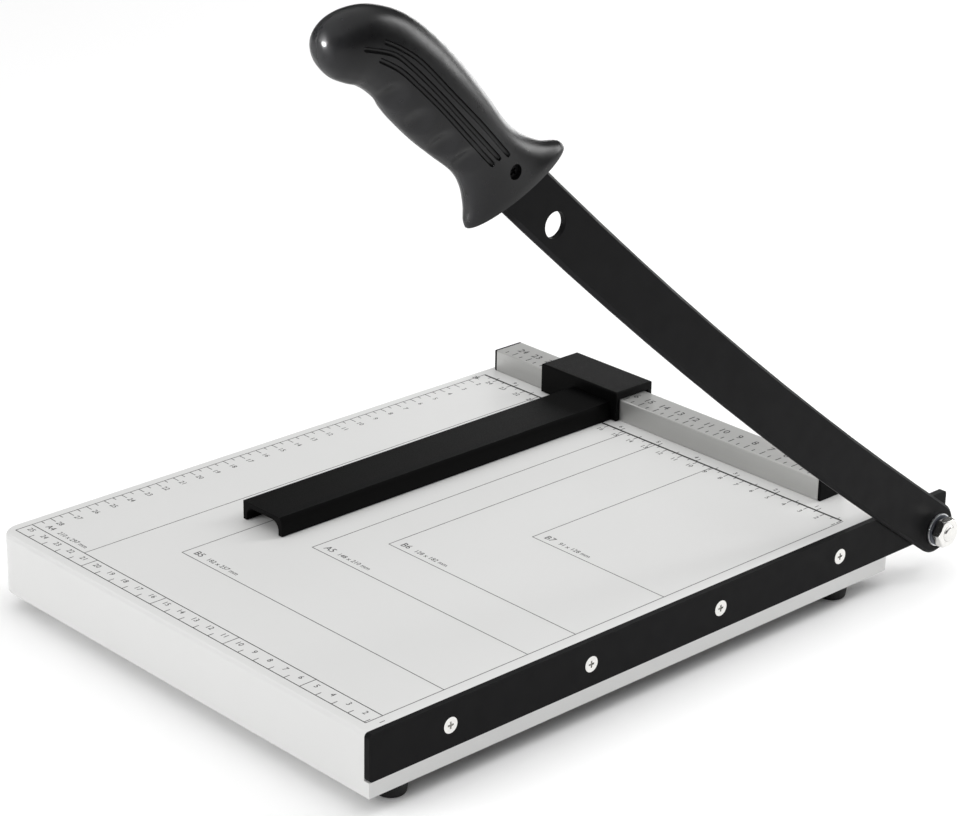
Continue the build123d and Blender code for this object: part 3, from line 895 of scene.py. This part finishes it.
class Print:
    """A layer of screen ink on a flat face: bars, ticks and characters, in millimetres from a zero."""

    def __init__(self, name, zero, film):
        self.piece = blank(name)
        self.zero = zero
        self.film = film
        self.words = []

    def spot(self, x, y):
        return self.zero + Vector((x * MM, y * MM, self.film / 2))

    def bar(self, x0, y0, x1, y1, width):
        """A straight line of ink between two points, square to the table."""
        half = width / 2 / MM
        across = abs(x1 - x0) / 2 + (half if x0 == x1 else 0)
        along = abs(y1 - y0) / 2 + (half if y0 == y1 else 0)
        bpy.ops.mesh.primitive_cube_add(
            size=2,
            location=self.spot((x0 + x1) / 2, (y0 + y1) / 2),
            scale=(across * MM, along * MM, self.film / 2),
        )

    def write(self, text, x, y, height, turn=0, align="CENTER"):
        self.words.append((text, x, y, height, turn, align))

    def done(self, body, slot, material):
        """Closes the layer: characters are made solid and joined to the bars."""
        bpy.ops.object.mode_set(mode="OBJECT")
        letters = []
        for text, x, y, height, turn, align in self.words:
            pick()
            bpy.ops.object.text_add(location=self.spot(x, y), rotation=(0, 0, turn))
            word = bpy.context.object
            word.data.body = text
            word.data.size = height * SIZE_PER_HEIGHT * MM
            word.data.align_x = align
            word.data.align_y = "CENTER"
            word.data.extrude = self.film / 2
            word.data.resolution_u = 2
            bpy.ops.object.convert(target="MESH")
            word = bpy.context.object
            place(word)
            letters.append(word)
        piece = join(self.piece.name, [self.piece] + letters)
        bpy.ops.object.mode_set(mode="EDIT")
        bpy.ops.mesh.select_all(action="SELECT")
        bpy.ops.mesh.remove_doubles(threshold=INK_MERGE)
        bpy.ops.object.mode_set(mode="OBJECT")
        return fit(piece, body, slot, material)


# Paper sizes that the table is marked for, in millimetres.
PAPER = {"B5": (182, 257), "A5": (148, 210), "B6": (128, 182), "B7": (91, 128)}
A4_WIDTH = 210
LINE_LEFT = -250.0
LINE_RIGHT = -9.0
LINE_FAR = -8.5
BAND_FAR = -290.0
BAND_NEAR = -299.0
INCH = 25.4
# Lengths of the scales' marks, whole and half, along the fence, down the left edge and on the fence.
FENCE_MARKS = (3.6, 2.2)
LEFT_MARKS = (4.2, 2.6)
RAIL_MARKS = (5.6, 3.8)
RAIL_MARK_START = 1.4
NEAR_MARK = 3.2
# Middles of the scales' digits, from the feet of their marks.
INCH_DIGIT = (-2.6, 3.4)
FENCE_DIGIT = -6.2
LEFT_DIGIT = 7.6
NEAR_DIGIT = (4.6, 5.4)
RAIL_DIGIT = 9.4
# Near left corners of the paper sizes' names and measures, from the corner of the outline.
A4_NAME = (-244, 4.2)
A4_MEASURE = (-235, 4.0)
NAME = (4, 4.6)
MEASURE = (13, 4.2)
# Heights of lettering and widths of lines, as shares of the settings.
INCH_SHARE = 0.9
RAIL_DIGIT_SHARE = 1.5
RAIL_TICK_SHARE = 1.4
BAND_SHARE = 1.2
NAME_SHARE = 1.15
MEASURE_SHARE = 0.8


class CUTTER_OT_print(bpy.types.Operator):
    """Printed scales and paper sizes on the table, and the scale on the fence"""

    bl_idname = "cutter.print"
    bl_label = "Printed Scales"

    def execute(self, context):
        sizes = context.scene.cutter_print
        digits = sizes.digits / MM
        dark = Print("printed_scales", ZERO, sizes.film)
        # Line along the fence, in inches on its far side and centimetres on its near side.
        dark.bar(LINE_LEFT, LINE_FAR, LINE_RIGHT - 1, LINE_FAR, sizes.thick)
        for half_inch in range(1, int(-LINE_LEFT / INCH * 2) + 1):
            x = -half_inch * INCH / 2
            whole = half_inch % 2 == 0
            mark = FENCE_MARKS[0] if whole else FENCE_MARKS[1]
            dark.bar(x, LINE_FAR, x, LINE_FAR + mark, sizes.tick)
            if whole:
                spot = (x + INCH_DIGIT[0], LINE_FAR + INCH_DIGIT[1])
                dark.write(str(half_inch // 2), *spot, digits * INCH_SHARE)
        for five in range(2, int(-LINE_LEFT / 5) + 1):
            whole = five % 2 == 0
            mark = FENCE_MARKS[0] if whole else FENCE_MARKS[1]
            dark.bar(-five * 5, LINE_FAR, -five * 5, LINE_FAR - mark, sizes.tick)
            if whole:
                dark.write(str(five // 2), -five * 5, LINE_FAR + FENCE_DIGIT, digits)
        # Ruler down the left edge.
        dark.bar(LINE_LEFT, LINE_FAR, LINE_LEFT, BAND_NEAR, sizes.tick)
        for five in range(1, int(-BAND_FAR / 5)):
            y = -five * 5
            if y > LINE_FAR - 2:
                continue
            whole = five % 2 == 0
            mark = LEFT_MARKS[0] if whole else LEFT_MARKS[1]
            dark.bar(LINE_LEFT, y, LINE_LEFT + mark, y, sizes.tick)
            if whole:
                dark.write(str(five // 2), LINE_LEFT + LEFT_DIGIT, y, digits)
        # Ruler along the near edge, between two lines.
        for y in (BAND_FAR, BAND_NEAR):
            dark.bar(LINE_LEFT, y, LINE_RIGHT, y, sizes.tick * BAND_SHARE)
        for ten in range(1, int(-LINE_LEFT / 10) + 1):
            x = -ten * 10
            deep = ten % 5 == 0
            dark.bar(x, BAND_NEAR, x, BAND_FAR if deep else BAND_NEAR + NEAR_MARK, sizes.tick)
            dark.write(str(ten), x + NEAR_DIGIT[0], BAND_NEAR + NEAR_DIGIT[1], digits)
        label = sizes.label / MM
        dark.write("A4", A4_NAME[0], BAND_FAR + A4_NAME[1], label, align="LEFT")
        spot = (A4_MEASURE[0], BAND_FAR + A4_MEASURE[1])
        dark.write("210 x 297 mm", *spot, label * MEASURE_SHARE, align="LEFT")
        for name, (width, height) in PAPER.items():
            dark.write(name, -width + NAME[0], -height + NAME[1], label * NAME_SHARE, align="LEFT")
            spot = (-width + MEASURE[0], -height + MEASURE[1])
            dark.write(f"{width} x {height} mm", *spot, label * MEASURE_SHARE, align="LEFT")
        dark.done("table", "white_enamel", screen_ink())

        grey = Print("printed_size_lines", ZERO, sizes.film)
        grey.bar(LINE_RIGHT, LINE_FAR, LINE_RIGHT, BAND_NEAR, sizes.thin)
        grey.bar(-A4_WIDTH, LINE_FAR, -A4_WIDTH, BAND_FAR, sizes.thin)
        for width, height in PAPER.values():
            grey.bar(-width, LINE_FAR, -width, -height, sizes.thin)
            grey.bar(-width, -height, LINE_RIGHT, -height, sizes.thin)
        grey.done("table", "white_enamel", grey_screen_ink())

        top = Vector((ZERO.x, FENCE_LOW.y, FENCE_HIGH.z))
        scale = Print("fence_scale", top, sizes.film)
        rail = (FENCE_HIGH.x - FENCE_LOW.x) / MM
        reach = (ZERO.x - FENCE_LOW.x) / MM
        for five in range(int((reach - rail) / 5) + 1, int(reach / 5)):
            whole = five % 2 == 0
            mark = RAIL_MARKS[0] if whole else RAIL_MARKS[1]
            scale.bar(-five * 5, RAIL_MARK_START, -five * 5, mark, sizes.tick * RAIL_TICK_SHARE)
            if whole:
                scale.write(str(five // 2), -five * 5, RAIL_DIGIT, digits * RAIL_DIGIT_SHARE)
        scale.done("table", "fence_aluminium", screen_ink())
        return {"FINISHED"}


# ---- Studio ------------------------------------------------------------------------------------

# Lamps: name, place, point faced, width, height, power in watts, spread of the beam in degrees.
LAMPS = (
    ("near_soft_box", (-0.3, -1.9, 1.1), (0, 0, 0.1), 1.2, 0.9, 19, 180),
    ("butt_strip_light", (0.06, -1.39, 0.43), (0.12, -0.215, 0.32), 0.1, 0.3, 0.55, 11),
    ("rear_soft_box", (-1.0, 1.9, 0.25), (0.12, -0.1, 0.2), 1.6, 0.4, 9, 180),
    ("ridge_strip_light", (0.38, 1.05, 0.7), (0.12, -0.1, 0.3), 0.35, 0.8, 7, 180),
)
# Height in the sky where the overhead light begins, and where it is full.
SCRIM_BEGINS = 0.45
SCRIM_FULL = 0.8
SENSOR_WIDTH = 36


def soft_box(name, place_at, aim, width, height, power, spread):
    """Even lamp that faces a point, its beam held within a spread in degrees."""
    lamp = bpy.data.lights.new(name, "AREA")
    lamp.shape = "RECTANGLE"
    lamp.size = width
    lamp.size_y = height
    lamp.energy = power
    lamp.spread = math.radians(spread)
    lamp_object = bpy.data.objects.new(name, lamp)
    bpy.context.scene.collection.objects.link(lamp_object)
    lamp_object.visible_camera = False
    lamp_object.location = place_at
    lamp_object.rotation_euler = (Vector(aim) - Vector(place_at)).to_track_quat("-Z", "Y").to_euler()


class CUTTER_OT_stage(bpy.types.Operator):
    """Pale floor, soft boxes and camera"""

    bl_idname = "cutter.stage"
    bl_label = "Studio"

    def execute(self, context):
        stage = context.scene.cutter_stage
        pick()
        bpy.ops.mesh.primitive_plane_add(size=stage.floor, location=(0, 0, 0))
        floor = context.object
        floor.name = "studio_floor"
        floor.data.materials.append(
            finish("studio_floor", [context.scene.cutter_colours.floor] * 2, 500, (0.9, 0.95), 5, 0.001)
        )
        world = bpy.data.worlds.new("studio_light")
        context.scene.world = world
        world.use_nodes = True
        tree = world.node_tree
        tree.nodes.clear()
        # Even light from overhead that dims towards the horizon, as from a large scrim.
        direction = add_node(tree, "ShaderNodeTexCoord")
        height = add_node(tree, "ShaderNodeSeparateXYZ", {"Vector": direction.outputs["Generated"]})
        scrim = add_node(
            tree,
            "ShaderNodeMapRange",
            {
                "Value": height.outputs["Z"],
                "From Min": SCRIM_BEGINS,
                "From Max": SCRIM_FULL,
                "To Min": stage.horizon,
                "To Max": stage.sky,
            },
            interpolation_type="SMOOTHSTEP",
        )
        sky = add_node(tree, "ShaderNodeBackground", {"Strength": scrim.outputs["Result"]})
        add_node(tree, "ShaderNodeOutputWorld", {"Surface": sky.outputs["Background"]})
        for lamp in LAMPS:
            soft_box(*lamp)
        context.scene.view_settings.view_transform = "Standard"

        back = Vector(
            (
                math.sin(stage.azimuth) * math.cos(stage.elevation),
                -math.cos(stage.azimuth) * math.cos(stage.elevation),
                math.sin(stage.elevation),
            )
        )
        right = Vector((math.cos(stage.azimuth), math.sin(stage.azimuth), 0))
        up = back.cross(right)
        c, s = math.cos(stage.roll), math.sin(stage.roll)
        turned = Matrix((right * c + up * s, up * c - right * s, back)).transposed()
        lens = bpy.data.cameras.new("camera")
        lens.lens = stage.lens
        lens.sensor_width = SENSOR_WIDTH
        camera = bpy.data.objects.new("camera", lens)
        context.scene.collection.objects.link(camera)
        camera.matrix_world = Matrix.Translation(stage.place) @ turned.to_4x4()
        context.scene.camera = camera
        return {"FINISHED"}


# ---- Panel and registration --------------------------------------------------------------------

OPERATORS = (
    CUTTER_OT_table,
    CUTTER_OT_feet,
    CUTTER_OT_fence,
    CUTTER_OT_guide,
    CUTTER_OT_arm,
    CUTTER_OT_pivot,
    CUTTER_OT_screws,
    CUTTER_OT_handle,
    CUTTER_OT_print,
    CUTTER_OT_stage,
)
SETTINGS = {
    "cutter_edges": CutterEdges,
    "cutter_handle": CutterHandle,
    "cutter_print": CutterPrint,
    "cutter_colours": CutterColours,
    "cutter_stage": CutterStage,
}


class CUTTER_PT_panel(bpy.types.Panel):
    """Lists the cutter's settings and operators"""

    bl_idname = "CUTTER_PT_panel"
    bl_label = "Paper Cutter"
    bl_space_type = "VIEW_3D"
    bl_region_type = "UI"
    bl_category = "Paper Cutter"

    def draw(self, context):
        for key, group in SETTINGS.items():
            box = self.layout.box()
            for setting in group.__annotations__:
                box.prop(getattr(context.scene, key), setting)
        for operator in OPERATORS:
            self.layout.operator(operator.bl_idname)


def register():
    for group in SETTINGS.values():
        bpy.utils.register_class(group)
    for key, group in SETTINGS.items():
        setattr(bpy.types.Scene, key, bpy.props.PointerProperty(type=group))
    for kind in OPERATORS + (CUTTER_PT_panel,):
        bpy.utils.register_class(kind)


def unregister():
    for kind in reversed(OPERATORS + (CUTTER_PT_panel,)):
        bpy.utils.unregister_class(kind)
    for key in SETTINGS:
        delattr(bpy.types.Scene, key)
    for group in SETTINGS.values():
        bpy.utils.unregister_class(group)


def main():
    register()
    for operator in OPERATORS:
        family, action = operator.bl_idname.split(".")
        getattr(getattr(bpy.ops, family), action)()
    pick()


if __name__ == "__main__":
    main()
